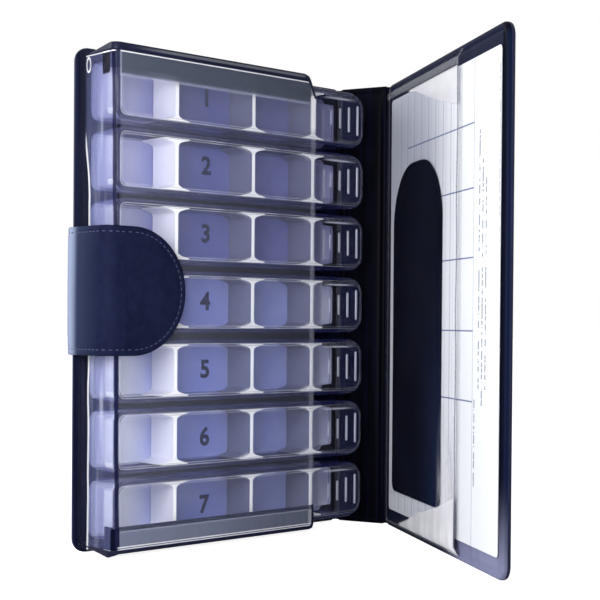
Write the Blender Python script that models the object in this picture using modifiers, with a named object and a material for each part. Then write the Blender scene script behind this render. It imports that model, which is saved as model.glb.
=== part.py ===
# Weekly pill organizer: a vinyl wallet with a clear sleeve that holds seven day boxes.
# Metres. The wallet stands on its short edge, +Z up, half open. The origin is the middle of the left
# panel's bottom edge, +X runs from its free edge to the spine and -Y is its inner side.
# Every piece is drawn lying flat (x along the panel, y up its long side, z towards the inner side),
# and the empty named wallet stands the whole thing up.
import math

import bmesh
import bpy
from mathutils import Matrix

# Clearance between pieces that touch, and how far a cutter runs past what it cuts
GAP = 0.0003
OVERRUN = 0.002

# Day boxes: a tray with a sloped right end
BOX_COUNT = 7
BOX_WIDTH = 0.0242
BOX_SPACING = 0.0027
BOX_LENGTH = 0.1328
BOX_WALL = 0.0013
BOX_FLOOR = 0.0012
BOX_DRAFT = 0.0003
BOX_END_SLOPE = 0.0095
BOX_CORNER = 0.0042
BOX_END_CORNER = 0.0060
BOX_FLOOR_ROUND = 0.0014
BOX_RIM_ROUND = 0.0009
BOX_LIP = 0.0007
BOX_PITCH = BOX_WIDTH + BOX_SPACING
STACK_HEIGHT = BOX_WIDTH + (BOX_COUNT - 1) * BOX_PITCH

# Sleeve on the left panel: clear film in front and at the left, a vinyl gusset above and below
SLEEVE_DEPTH = 0.0206
SLEEVE_RIGHT = 0.1062
SLEEVE_FOOT = 0.0021
SLEEVE_FOOT_MARGIN = 0.0009
SLEEVE_LOW = 0.0016
SLEEVE_HIGH_MARGIN = 0.0012
SLEEVE_FOLD = 0.0028
SLEEVE_FOOT_FOLD = 0.0007
FILM = 0.0004
CUT_LENGTH = 0.0044
CUT_HEIGHT = 0.0084
LOW_CUT = 0.0016
GUSSET = 0.0007
GUSSET_STRIP = 0.0006
GUSSET_BEAD = 0.0003
TOP_RIM = 0.0024
LOW_RIM = 0.0018
TOP_STRIP = 0.0062
LOW_STRIP = 0.0084
GUSSET_TAB = 0.0055
STACK_CLEARANCE = 0.0005
BOX_END_CLEARANCE = 0.0009
BOX_SPINE_CLEARANCE = 0.0005
SLEEVE_LEFT = SLEEVE_FOOT_MARGIN + SLEEVE_FOOT
BOX_LEFT = SLEEVE_LEFT + FILM + GAP + GUSSET_STRIP + BOX_END_CLEARANCE
BOX_DEPTH = SLEEVE_DEPTH - FILM - GUSSET_STRIP - 3 * GAP
LOW_WALL = SLEEVE_LOW + LOW_RIM
STACK_LOW = LOW_WALL + GUSSET + STACK_CLEARANCE
TOP_WALL = STACK_LOW + STACK_HEIGHT + STACK_CLEARANCE
SLEEVE_HIGH = TOP_WALL + GUSSET + TOP_RIM

# Panels: two vinyl sheets round a board
PANEL_HEIGHT = SLEEVE_HIGH + SLEEVE_HIGH_MARGIN
PANEL_WIDTH = BOX_LEFT + BOX_LENGTH + BOX_SPINE_CLEARANCE
PANEL_CORNER = 0.0055
FOLD_CORNER = 0.0012
SHEET = 0.0006
BOARD = 0.0014
TURNED_EDGE = 0.0009
EDGE_SOFTENING = 0.0005
PANEL = 2 * SHEET + BOARD + 2 * GAP

# Folds on both sides of the spine: a bead of vinyl on each hinge line
FOLD_REACH = PANEL / 2 + GAP
FOLD_INSET = 0.0006
SPINE_REST = math.radians(69.5)
COVER_REST = math.radians(49.8)

# Strap round the left edge
STRAP_WIDTH = 0.049
STRAP_OFFSET = 0.0035
STRAP_SHEET = 0.0007
STRAP_CLEARANCE = 0.0005
STRAP_TAIL = 0.027
STRAP_TAIL_CORNER = 0.006
TONGUE_STRAIGHT = 0.0126
STRAP = 2 * STRAP_SHEET + GAP
STRAP_LOW = PANEL_HEIGHT / 2 + STRAP_OFFSET - STRAP_WIDTH / 2
STRAP_MIDDLE = STRAP_LOW + STRAP_WIDTH / 2
STRAP_HIGH = STRAP_LOW + STRAP_WIDTH
TONGUE_REACH = TONGUE_STRAIGHT + STRAP_WIDTH / 2

# Press stud that closes the strap on the cover's outer side
SNAP_RADIUS = 0.005
SNAP_INSET = 0.0145
STUD_POST = 0.0016
STUD_PLAY = 0.0005
STUD_BASE = 0.0006
STUD_HEIGHT = 0.0018

# Pocket on the cover's inner side, the card and the flat pouch in it
CARD = 0.00035
CARD_FOLD_MARGIN = 0.0052
CARD_FREE_MARGIN = 0.0040
CARD_MARGIN = 0.0080
CARD_CORNER = 0.0015
POUCH = 0.0009
POUCH_FOLD_MARGIN = 0.0125
POUCH_LOW = 0.0170
POUCH_WIDTH = 0.0620
POUCH_HEIGHT = 0.1395
POUCH_TOP_ROUND = 0.026
POUCH_CORNER = 0.004
POCKET_FILM = 0.00035
POCKET_EDGE = 0.0006
POCKET_FOLD_MARGIN = 0.0009
POCKET_WIDTH = 0.0940
POCKET_MARGIN = 0.0020
POCKET_CORNER = 0.0012
POCKET_DEPTH = 3 * GAP + CARD + POUCH + POCKET_FILM
CLOSED_CLEARANCE = 0.0005
SPINE_REACH = PANEL + SLEEVE_DEPTH + POCKET_DEPTH + CLOSED_CLEARANCE

# Lids that slide in grooves of the trays
LID_FLANGE = 0.0008
LID_PLAY = 0.0002
LID_SIDE_PLAY = 0.0003
LID_END_INSET = 0.0014
GROOVE_DEPTH = 0.0007
LID_CORNER = 0.0030
LID_END_CORNER = 0.0055
LID_STEP = 0.0004
RIB_COUNT = 4
RIB_PITCH = 0.0053
RIB_WIDTH = 0.0012
RIB_SHORT = 0.0066
RIB_LONG = 0.0130
RIB_HEIGHT = 0.0005
RIB_CORNER = 0.0004
RIB_FROM_END = 0.0042
GROOVE_HEIGHT = LID_FLANGE + 2 * LID_PLAY
GROOVE_FLOOR = BOX_DEPTH - BOX_LIP - GROOVE_HEIGHT

# Partitions of a day box, placed along the tray as shares of its length
DIVIDER_SHARES = (0.227, 0.524, 0.775)
DIVIDER_WEB = 0.0014
DIVIDER_FLANGE = 0.0124
DIVIDER_LIP = 0.0007
DIVIDER_FLARE = 0.0030

CORNER_STEPS = 4
ROUND_STEPS = 12
BEAD_SIDES = 14
SNAP_SIDES = 20

COLOURS = {
    "vinyl": ((0.012, 0.015, 0.055), 0.42, 1.0),
    "lining": ((0.010, 0.012, 0.045), 0.50, 1.0),
    "board": ((0.35, 0.32, 0.28), 0.90, 1.0),
    "film": ((0.85, 0.88, 0.93), 0.12, 0.25),
    "tray": ((0.52, 0.54, 0.82), 0.15, 0.45),
    "lid": ((0.72, 0.74, 0.90), 0.12, 0.35),
    "divider": ((0.86, 0.87, 0.97), 0.30, 0.85),
    "card": ((0.88, 0.90, 0.92), 0.70, 1.0),
    "snap": ((0.70, 0.70, 0.72), 0.30, 1.0),
}

parts = bpy.data.collections.new("weekly_pill_organizer")


def material_for(name, kind):
    # A Principled material of its own for one piece
    colour, roughness, alpha = COLOURS[kind]
    material = bpy.data.materials.new(name)
    material.use_nodes = True
    shader = material.node_tree.nodes["Principled BSDF"]
    shader.inputs["Base Color"].default_value = (*colour, 1.0)
    shader.inputs["Roughness"].default_value = roughness
    shader.inputs["Metallic"].default_value = 1.0 if kind == "snap" else 0.0
    shader.inputs["Alpha"].default_value = alpha
    return material


def piece(name, mesh, kind, parent, place=(0, 0, 0)):
    # A named object in the parts' collection; one mesh can serve several pieces
    shown = bpy.data.objects.new(name, mesh)
    shown.location = place
    shown.parent = parent
    parts.objects.link(shown)
    if not mesh.materials:
        mesh.materials.append(None)
    shown.material_slots[0].link = "OBJECT"
    shown.material_slots[0].material = material_for(name, kind)
    return shown


def pivot(name, parent, place, turn=(0, 0, 0)):
    # An empty on a hinge line, or one that carries a loose piece
    empty = bpy.data.objects.new(name, None)
    empty.location = place
    empty.rotation_euler = turn
    empty.parent = parent
    parts.objects.link(empty)
    return empty


def arc(centre_x, centre_y, radius, start, end, steps):
    angles = [start + (end - start) * i / steps for i in range(steps + 1)]
    return [(centre_x + radius * math.cos(a), centre_y + radius * math.sin(a)) for a in angles]


def rounded(left, right, low, high, radii, inset=0.0, steps=CORNER_STEPS):
    # A rectangle with a radius for each corner: left low, right low, right high, left high
    left, right, low, high = left + inset, right - inset, low + inset, high - inset
    corners = ((left, low), (right, low), (right, high), (left, high))
    points = []
    for i, ((x, y), radius) in enumerate(zip(corners, radii)):
        radius = max(radius - inset, GAP)
        side = 1 if i in (0, 3) else -1
        rise = 1 if i in (0, 1) else -1
        start = math.pi + i * math.pi / 2
        points += arc(x + side * radius, y + rise * radius, radius, start, start + math.pi / 2, steps)
    return points


def circle(x, y, radius, sides):
    return arc(x, y, radius, 0, 2 * math.pi * (sides - 1) / sides, sides - 1)


def drawn_object(mesh):
    # A working object that is removed again once its mesh has been taken
    made = bpy.data.objects.new("work", mesh)
    bpy.context.scene.collection.objects.link(made)
    return made


def evaluated_mesh(shown, name):
    # The mesh that an object's modifiers or its curve give, with doubled points welded
    bpy.context.view_layer.update()
    graph = bpy.context.evaluated_depsgraph_get()
    mesh = bpy.data.meshes.new_from_object(shown.evaluated_get(graph))
    mesh.name = name
    work = bmesh.new()
    work.from_mesh(mesh)
    bmesh.ops.remove_doubles(work, verts=work.verts, dist=GAP / 100)
    bmesh.ops.recalc_face_normals(work, faces=work.faces)
    work.to_mesh(mesh)
    work.free()
    return mesh


def plate(outline, low, high):
    # A flat outline in x and y, thick from low to high
    curve = bpy.data.curves.new("outline", "CURVE")
    curve.dimensions = "2D"
    curve.fill_mode = "BOTH"
    curve.extrude = (high - low) / 2
    spline = curve.splines.new("POLY")
    spline.points.add(len(outline) - 1)
    for point, (x, y) in zip(spline.points, outline):
        point.co = (x, y, 0, 1)
    spline.use_cyclic_u = True
    drawn = drawn_object(curve)
    mesh = evaluated_mesh(drawn, "plate")
    bpy.data.objects.remove(drawn)
    mesh.transform(Matrix.Translation((0, 0, (low + high) / 2)))
    return mesh


def standing(outline, low, high):
    # A flat outline in x and z, tall from low to high along y
    mesh = plate(outline, -high, -low)
    mesh.transform(Matrix.Rotation(math.pi / 2, 4, "X"))
    return mesh


def loft(sections):
    # A closed skin through outlines of equal point count, each with its height, in triangles that later
    # cuts can rely on
    work = bmesh.new()
    rings = [[work.verts.new((x, y, z)) for x, y in outline] for outline, z in sections]
    for below, above in zip(rings, rings[1:]):
        for i in range(len(below)):
            j = (i + 1) % len(below)
            work.faces.new((below[i], below[j], above[j], above[i]))
    work.faces.new(list(reversed(rings[0])))
    work.faces.new(rings[-1])
    bmesh.ops.triangulate(work, faces=work.faces)
    mesh = bpy.data.meshes.new("loft")
    work.to_mesh(mesh)
    work.free()
    return mesh


def combined(body, others, operation):
    # The body with the other meshes cut from it, or joined to it
    made = drawn_object(body)
    tools = []
    for other in others:
        tool = drawn_object(other)
        tool.hide_render = True
        tool.display_type = "WIRE"
        step = made.modifiers.new("step", "BOOLEAN")
        step.object = tool
        step.operation = operation
        tools.append(tool)
    mesh = evaluated_mesh(made, "combined")
    for used in [made, *tools]:
        bpy.data.objects.remove(used)
    return mesh


def cut(body, *others):
    return combined(body, others, "DIFFERENCE")


def join(body, *others):
    return combined(body, others, "UNION")


def turned(profile, sides):
    # A closed profile of radius and height, turned about the Z axis
    work = bmesh.new()
    points = [work.verts.new((radius, 0, z)) for radius, z in profile]
    for i in range(len(points)):
        work.edges.new((points[i - 1], points[i]))
    line = bpy.data.meshes.new("profile")
    work.to_mesh(line)
    work.free()
    made = drawn_object(line)
    screw = made.modifiers.new("turn", "SCREW")
    screw.steps = sides
    screw.render_steps = sides
    screw.use_merge_vertices = True
    screw.merge_threshold = GAP / 100
    mesh = evaluated_mesh(made, "turned")
    bpy.data.objects.remove(made)
    return mesh


def softened(mesh, width):
    # The long edges of a plate, rounded over with a small bevel
    made = drawn_object(mesh)
    bevel = made.modifiers.new("soft", "BEVEL")
    bevel.width = width
    bevel.segments = 2
    bevel.limit_method = "ANGLE"
    bevel.angle_limit = math.radians(60)
    soft = evaluated_mesh(made, "softened")
    bpy.data.objects.remove(made)
    return soft


def shade(mesh):
    mesh.shade_smooth()
    mesh.set_sharp_from_angle(angle=math.radians(35))
    return mesh


def panel_pieces(name, parent, left, right, radii):
    # Skin with a turned edge, board in it and lining over it
    def outline(inset):
        return rounded(left, right, 0, PANEL_HEIGHT, radii, inset)

    half = PANEL / 2
    skin = softened(plate(outline(0), -half, half), EDGE_SOFTENING)
    hollow = plate(outline(TURNED_EDGE), -half + SHEET, half + OVERRUN)
    piece(name + "_skin", shade(cut(skin, hollow)), "vinyl", parent)
    inner = outline(TURNED_EDGE + GAP)
    piece(name + "_board", plate(inner, -half + SHEET + GAP, half - SHEET - GAP), "board", parent)
    piece(name + "_lining", plate(inner, half - SHEET, half), "lining", parent)


def fold_bead(name, parent, x):
    # The rolled fold of vinyl that fills a hinge line
    work = bmesh.new()
    bmesh.ops.create_cone(work, cap_ends=True, segments=BEAD_SIDES, radius1=PANEL / 2,
                          radius2=PANEL / 2, depth=PANEL_HEIGHT - 2 * FOLD_INSET)
    bead = bpy.data.meshes.new(name)
    work.to_mesh(bead)
    work.free()
    bead.transform(Matrix.Rotation(math.pi / 2, 4, "X"))
    piece(name, shade(bead), "vinyl", parent, (x, PANEL_HEIGHT / 2, 0))


def corner_cutter(low, high):
    # Takes the slanted corner off the sleeve's open end
    right = sleeve_x(SLEEVE_RIGHT)
    slope = CUT_LENGTH / CUT_HEIGHT
    over = CUT_LENGTH
    outline = [
        (right - CUT_LENGTH - slope * over, SLEEVE_HIGH + over),
        (right + slope * over, SLEEVE_HIGH - CUT_HEIGHT - over),
        (right + CUT_LENGTH + over, SLEEVE_HIGH - CUT_HEIGHT - over),
        (right + CUT_LENGTH + over, SLEEVE_HIGH + over),
    ]
    return plate(outline, low, high)


def low_corner_cutter(low, high):
    right = sleeve_x(SLEEVE_RIGHT)
    outline = [
        (right - LOW_CUT - OVERRUN, SLEEVE_LOW - OVERRUN),
        (right + OVERRUN, SLEEVE_LOW - OVERRUN),
        (right + OVERRUN, SLEEVE_LOW + LOW_CUT + OVERRUN),
    ]
    return plate(outline, low, high)


def sleeve_x(distance):
    # Distances along the left panel are measured from its free edge
    return distance - PANEL_WIDTH / 2


def film_profile():
    # The film's path in x and z: foot on the lining, left wall, front
    wall = sleeve_x(SLEEVE_LEFT) + FILM / 2
    foot = PANEL / 2 + GAP + FILM / 2
    front = PANEL / 2 + SLEEVE_DEPTH - FILM / 2
    small, large = SLEEVE_FOOT_FOLD, SLEEVE_FOLD
    path = [(wall - SLEEVE_FOOT, foot)]
    path += arc(wall - small, foot + small, small, -math.pi / 2, 0, CORNER_STEPS)
    path += arc(wall + large, front - large, large, math.pi, math.pi / 2, CORNER_STEPS)
    path.append((sleeve_x(SLEEVE_RIGHT), front))
    return path


def sleeve_film(parent):
    # A bent sheet with Solidify, then the corners of the open end taken off
    work = bmesh.new()
    path = film_profile()
    low = [work.verts.new((x, SLEEVE_LOW, z)) for x, z in path]
    high = [work.verts.new((x, SLEEVE_HIGH, z)) for x, z in path]
    for i in range(len(path) - 1):
        work.faces.new((low[i], low[i + 1], high[i + 1], high[i]))
    sheet = bpy.data.meshes.new("sheet")
    work.to_mesh(sheet)
    work.free()
    bent = drawn_object(sheet)
    thick = bent.modifiers.new("thick", "SOLIDIFY")
    thick.thickness = FILM
    thick.offset = 0
    thick.use_even_offset = True
    solid = evaluated_mesh(bent, "film")
    bpy.data.objects.remove(bent)
    front = PANEL / 2 + SLEEVE_DEPTH
    cutters = (corner_cutter(front - OVERRUN, front + OVERRUN),
               low_corner_cutter(front - OVERRUN, front + OVERRUN))
    piece("sleeve_film", shade(cut(solid, *cutters)), "film", parent)


def gusset(name, parent, wall_low, strip_low, strip_high):
    # A wall across the sleeve, with a strip turned along the film and round its left fold
    left = sleeve_x(SLEEVE_LEFT) + FILM + GAP
    right = sleeve_x(SLEEVE_RIGHT) - GAP
    back = PANEL / 2 + GAP
    front = PANEL / 2 + SLEEVE_DEPTH - FILM - GAP
    round_out = SLEEVE_FOLD - FILM / 2 - GAP
    half = GUSSET_STRIP / 2
    fold = arc(left + round_out, front - round_out, round_out, math.pi, math.pi / 2, CORNER_STEPS)
    inside = arc(left + round_out, front - round_out, round_out - GUSSET_STRIP,
                 math.pi / 2, math.pi, CORNER_STEPS)
    middle = arc(left + round_out, front - round_out, round_out - half,
                 math.pi, math.pi / 2, CORNER_STEPS)
    strip = [(left, front - GUSSET_TAB), *fold, (right, front), (right, front - GUSSET_STRIP),
             *inside, (left + GUSSET_STRIP, front - GUSSET_TAB)]
    wall = [(left + half, back), *middle, (right - half, front - half), (right - half, back)]
    solid = join(standing(wall, wall_low, wall_low + GUSSET), standing(strip, strip_low, strip_high))
    if strip_high > PANEL_HEIGHT / 2:
        solid = cut(solid, corner_cutter(back - OVERRUN, front + OVERRUN))
    piece(name, shade(solid), "vinyl", parent)


def strap_tail(parent, hinge_x, hinge_z):
    start = hinge_x + STRAP / 2 + GAP
    radii = (GAP, STRAP_TAIL_CORNER, STRAP_TAIL_CORNER, GAP)
    outline = rounded(start, start + STRAP_TAIL, STRAP_LOW, STRAP_HIGH, radii)
    tail = plate(outline, hinge_z - STRAP / 2, hinge_z + STRAP / 2)
    piece("strap_tail", tail, "vinyl", parent)


def strap_pieces(parent):
    # The strap turns on two lines: at the panel's back and at the sleeve's front
    hinge_x = -PANEL_WIDTH / 2 - STRAP_CLEARANCE - STRAP / 2
    back_z = -PANEL / 2 - GAP - STRAP / 2
    front_z = PANEL / 2 + SLEEVE_DEPTH + GAP + STRAP / 2
    strap_tail(parent, hinge_x, back_z)
    side_pivot = pivot("strap_side_pivot", parent, (hinge_x, 0, back_z))
    tongue_pivot = pivot("strap_tongue_pivot", side_pivot, (0, 0, front_z - back_z))
    radius, reach = STRAP / 2, front_z - back_z
    ends = arc(0, 0, radius, math.pi, 2 * math.pi, ROUND_STEPS // 2)
    ends += arc(0, reach, radius, 0, math.pi, ROUND_STEPS // 2)
    piece("strap_side", shade(standing(ends, STRAP_LOW, STRAP_HIGH)), "vinyl", side_pivot)

    start = radius + GAP
    outline = [(start, STRAP_LOW)]
    outline += arc(TONGUE_STRAIGHT, STRAP_MIDDLE, STRAP_WIDTH / 2, -math.pi / 2, math.pi / 2,
                   2 * ROUND_STEPS)
    outline.append((start, STRAP_HIGH))
    snap_x = TONGUE_REACH - SNAP_INSET
    outer = plate(outline, radius - STRAP_SHEET, radius)
    inner = plate(outline, -radius, -radius + STRAP_SHEET)
    hole = plate(circle(snap_x, STRAP_MIDDLE, SNAP_RADIUS + GAP, SNAP_SIDES), -STRAP, STRAP)
    bore = STUD_POST + STUD_PLAY
    ring = turned([(bore, 0), (bore, STRAP_SHEET), (SNAP_RADIUS, STRAP_SHEET), (SNAP_RADIUS, 0)],
                  SNAP_SIDES)
    piece("strap_outer", outer, "vinyl", tongue_pivot)
    piece("strap_lining", cut(inner, hole), "lining", tongue_pivot)
    piece("snap_socket", shade(ring), "snap", tongue_pivot, (snap_x, STRAP_MIDDLE, -radius))
    return hinge_x + snap_x


def snap_stud(parent, snap_x):
    # It meets the socket when the wallet is shut: the cover then lies over the left panel, turned over
    x = PANEL_WIDTH / 2 + FOLD_REACH - snap_x
    profile = [(0, 0), (SNAP_RADIUS, 0), (SNAP_RADIUS, -STUD_BASE), (STUD_POST, -STUD_BASE),
               (STUD_POST, -STUD_HEIGHT), (0, -STUD_HEIGHT)]
    stud = turned(profile, SNAP_SIDES)
    piece("snap_stud", shade(stud), "snap", parent, (x, STRAP_MIDDLE, -PANEL / 2 - GAP))


def pocket(parent):
    # Clear film, raised over the card and pouch and open towards the cover's free edge
    low, high = POCKET_MARGIN, PANEL_HEIGHT - POCKET_MARGIN
    bottom, top = PANEL / 2 + GAP, PANEL / 2 + POCKET_DEPTH
    left = FOLD_REACH + POCKET_FOLD_MARGIN
    right = left + POCKET_WIDTH
    radii = (POCKET_CORNER, GAP, GAP, POCKET_CORNER)
    body = plate(rounded(left, right, low, high, radii), bottom, top)
    inside = rounded(left + POCKET_EDGE, right + OVERRUN, low + POCKET_EDGE, high - POCKET_EDGE, radii)
    hollow = plate(inside, bottom - OVERRUN, top - POCKET_FILM)
    piece("pocket_film", cut(body, hollow), "film", parent)


def card_and_pouch(parent):
    card_low = PANEL / 2 + GAP
    pouch_low = card_low + CARD + GAP
    holder = pivot("card_runner", parent, (0, 0, 0))
    outline = rounded(FOLD_REACH + CARD_FOLD_MARGIN, FOLD_REACH + PANEL_WIDTH - CARD_FREE_MARGIN,
                      CARD_MARGIN, PANEL_HEIGHT - CARD_MARGIN, (CARD_CORNER,) * 4)
    piece("record_card", plate(outline, card_low, card_low + CARD), "card", holder)
    holder = pivot("pouch_runner", parent, (0, 0, 0))
    radii = (POUCH_CORNER, POUCH_CORNER, POUCH_TOP_ROUND, POUCH_TOP_ROUND)
    left = FOLD_REACH + POUCH_FOLD_MARGIN
    outline = rounded(left, left + POUCH_WIDTH, POUCH_LOW, POUCH_LOW + POUCH_HEIGHT, radii,
                      steps=ROUND_STEPS // 2)
    piece("carry_pouch", plate(outline, pouch_low, pouch_low + POUCH), "vinyl", holder)


def tray_outline(z, inset):
    # The tray narrows a little to its floor, and its right end slopes in
    share = 1 - z / BOX_DEPTH
    draft = BOX_DRAFT * share
    half = BOX_WIDTH / 2 - draft
    radii = (BOX_CORNER, BOX_END_CORNER, BOX_END_CORNER, BOX_CORNER)
    return rounded(draft, BOX_LENGTH - BOX_END_SLOPE * share, -half, half, radii, inset)


def tray_mesh():
    outer = [(0, BOX_FLOOR_ROUND), (BOX_FLOOR_ROUND / 3, BOX_FLOOR_ROUND / 3), (BOX_FLOOR_ROUND, 0),
             (BOX_DEPTH - BOX_RIM_ROUND, 0), (BOX_DEPTH - BOX_RIM_ROUND / 3, BOX_RIM_ROUND / 3),
             (BOX_DEPTH, BOX_RIM_ROUND)]
    body = loft([(tray_outline(z, inset), z) for z, inset in outer])
    above = BOX_DEPTH + OVERRUN
    cavity = loft([(tray_outline(z, BOX_WALL), z) for z in (BOX_FLOOR, GROOVE_FLOOR + GROOVE_HEIGHT / 2)])
    past_end = BOX_LENGTH + OVERRUN
    groove_half = BOX_WIDTH / 2 - BOX_WALL + GROOVE_DEPTH
    groove_radii = (LID_CORNER + GROOVE_DEPTH, GAP, GAP, LID_CORNER + GROOVE_DEPTH)
    groove = plate(rounded(BOX_WALL - GROOVE_DEPTH, past_end, -groove_half, groove_half, groove_radii),
                   GROOVE_FLOOR, GROOVE_FLOOR + GROOVE_HEIGHT)
    lip_half = BOX_WIDTH / 2 - BOX_WALL
    lip_radii = (LID_CORNER, GAP, GAP, LID_CORNER)
    mouth = plate(rounded(BOX_WALL, past_end, -lip_half, lip_half, lip_radii),
                  GROOVE_FLOOR + GROOVE_HEIGHT / 3, above)
    return shade(cut(body, cavity, groove, mouth))


def lid_mesh():
    right = BOX_LENGTH - LID_END_INSET
    low = GROOVE_FLOOR + LID_PLAY
    flange_half = BOX_WIDTH / 2 - BOX_WALL + GROOVE_DEPTH - LID_SIDE_PLAY
    flange_left = BOX_WALL - GROOVE_DEPTH + LID_SIDE_PLAY
    corner = LID_CORNER + GROOVE_DEPTH - LID_SIDE_PLAY
    radii = (corner, LID_END_CORNER, LID_END_CORNER, corner)
    flange = plate(rounded(flange_left, right, -flange_half, flange_half, radii), low, low + LID_FLANGE)
    body_half = BOX_WIDTH / 2 - BOX_WALL - LID_SIDE_PLAY
    corner = LID_CORNER - LID_SIDE_PLAY
    radii = (corner, LID_END_CORNER, LID_END_CORNER, corner)
    body = plate(rounded(BOX_WALL + LID_SIDE_PLAY, right - LID_STEP, -body_half, body_half, radii),
                 low + LID_FLANGE / 2, BOX_DEPTH)
    ribs = []
    for i in range(RIB_COUNT):
        x = right - RIB_FROM_END - (RIB_COUNT - 1 - i) * RIB_PITCH
        half = (RIB_SHORT + (RIB_LONG - RIB_SHORT) * i / (RIB_COUNT - 1)) / 2
        outline = rounded(x - RIB_WIDTH / 2, x + RIB_WIDTH / 2, -half, half, (RIB_CORNER,) * 4, steps=1)
        ribs.append(plate(outline, BOX_DEPTH - RIB_HEIGHT, BOX_DEPTH + RIB_HEIGHT))
    return join(flange, body, *ribs)


def divider_mesh():
    # A web with flared ends that stand against the tray's long walls
    span = BOX_WIDTH / 2 - BOX_WALL - BOX_DRAFT - GAP
    web, wide = DIVIDER_WEB / 2, DIVIDER_FLANGE / 2
    quarter = [(web, span - DIVIDER_FLARE), (wide, span - DIVIDER_LIP), (wide, span)]
    outline = quarter + [(-x, y) for x, y in reversed(quarter)]
    outline += [(-x, -y) for x, y in outline]
    return plate(outline, BOX_FLOOR + GAP, GROOVE_FLOOR - GAP)


def day_boxes(parent):
    tray, lid, divider = tray_mesh(), lid_mesh(), divider_mesh()
    floor = PANEL / 2 + GAP
    for day in range(1, BOX_COUNT + 1):
        y = STACK_LOW + BOX_WIDTH / 2 + BOX_PITCH * (BOX_COUNT - day)
        runner = pivot("box_%d_runner" % day, parent, (sleeve_x(BOX_LEFT), y, floor))
        piece("box_%d_tray" % day, tray, "tray", runner)
        piece("box_%d_lid" % day, lid, "lid", runner)
        for i, share in enumerate(DIVIDER_SHARES, 1):
            place = (share * BOX_LENGTH, 0, 0)
            piece("box_%d_divider_%d" % (day, i), divider, "divider", runner, place)


def main():
    for old in list(bpy.data.objects):
        bpy.data.objects.remove(old)
    bpy.context.scene.collection.children.link(parts)

    wallet = pivot("wallet", None, (0, 0, 0), (math.pi / 2, 0, 0))
    half = PANEL_WIDTH / 2
    spine = pivot("spine_pivot", wallet, (half + FOLD_REACH, 0, 0), (0, -SPINE_REST, 0))
    cover = pivot("cover_pivot", spine, (SPINE_REACH, 0, 0), (0, -COVER_REST, 0))
    free, folded = PANEL_CORNER, FOLD_CORNER
    panel_pieces("base", wallet, -half, half, (free, folded, folded, free))
    panel_pieces("spine", spine, FOLD_REACH, SPINE_REACH - FOLD_REACH, (folded,) * 4)
    panel_pieces("cover", cover, FOLD_REACH, FOLD_REACH + PANEL_WIDTH, (folded, free, free, folded))
    fold_bead("base_fold", wallet, half + FOLD_REACH)
    fold_bead("cover_fold", spine, SPINE_REACH)

    sleeve_film(wallet)
    gusset("gusset_top", wallet, TOP_WALL, TOP_WALL + GUSSET - TOP_STRIP, TOP_WALL + GUSSET + GUSSET_BEAD)
    gusset("gusset_bottom", wallet, LOW_WALL, LOW_WALL - GUSSET_BEAD, LOW_WALL + LOW_STRIP)
    snap_x = strap_pieces(wallet)
    snap_stud(cover, snap_x)
    pocket(cover)
    card_and_pouch(cover)
    day_boxes(wallet)


main()
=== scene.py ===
import math
from functools import reduce

import bmesh
import bpy
from mathutils import Matrix, Vector


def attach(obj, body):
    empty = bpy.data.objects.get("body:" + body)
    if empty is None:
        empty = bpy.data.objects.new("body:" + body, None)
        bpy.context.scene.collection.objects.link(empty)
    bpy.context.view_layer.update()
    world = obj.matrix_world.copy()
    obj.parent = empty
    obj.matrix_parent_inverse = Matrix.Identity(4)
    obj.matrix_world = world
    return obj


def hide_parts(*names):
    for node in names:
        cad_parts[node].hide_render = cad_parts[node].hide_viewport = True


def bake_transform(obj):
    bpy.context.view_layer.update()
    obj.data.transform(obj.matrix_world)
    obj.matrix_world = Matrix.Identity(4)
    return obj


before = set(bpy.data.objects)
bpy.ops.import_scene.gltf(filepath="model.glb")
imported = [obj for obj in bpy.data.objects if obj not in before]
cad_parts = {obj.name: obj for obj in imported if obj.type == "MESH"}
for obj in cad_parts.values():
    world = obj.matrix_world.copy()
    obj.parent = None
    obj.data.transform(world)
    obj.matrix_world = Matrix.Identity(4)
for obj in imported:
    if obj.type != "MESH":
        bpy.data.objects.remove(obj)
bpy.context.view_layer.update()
print("frame loaded:", len(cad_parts), "nodes")

# Lengths below are in millimetres, and angles in degrees. Every panel has its own flat frame:
# x runs along the panel, y up its long side and z out of its inner face.
wallet = {
    "height": 195.0, "width": 138.5, "thickness": 3.2, "spineWidth": 26.8, "spineTurn": 69.5,
    "coverTurn": 49.8, "hingeReach": 1.9, "corner": 5.5, "foldCorner": 1.2,
}
metres = 0.001  # one millimetre


def planDirection(turn):
    # the way a panel runs in plan when it is turned clockwise from +X
    angle = math.radians(turn)
    return Vector((math.cos(angle), -math.sin(angle)))


directions = {
    "base": planDirection(0), "spine": planDirection(wallet["spineTurn"]),
    "cover": planDirection(wallet["spineTurn"] + wallet["coverTurn"]),
}
spineAxis = Vector((wallet["width"] / 2 + wallet["hingeReach"], 0))
coverAxis = spineAxis + directions["spine"] * wallet["spineWidth"]


def flatFrame(corner, along):
    inward = Vector((along.y, -along.x, 0))
    turned = Matrix((along.to_3d(), Vector((0, 0, 1)), inward)).transposed().to_4x4()
    middle = corner.to_3d() + inward * wallet["thickness"] / 2
    return Matrix.Translation(middle * metres) @ turned


panelFrame = {
    "base": flatFrame(Vector((-wallet["width"] / 2, 0)), directions["base"]),
    "spine": flatFrame(spineAxis, directions["spine"]),
    "cover": flatFrame(coverAxis, directions["cover"]),
}
rowFrame = Matrix.Identity(4)


def pick(piece, keys):
    return [piece[key] for key in keys.split()]


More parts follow.
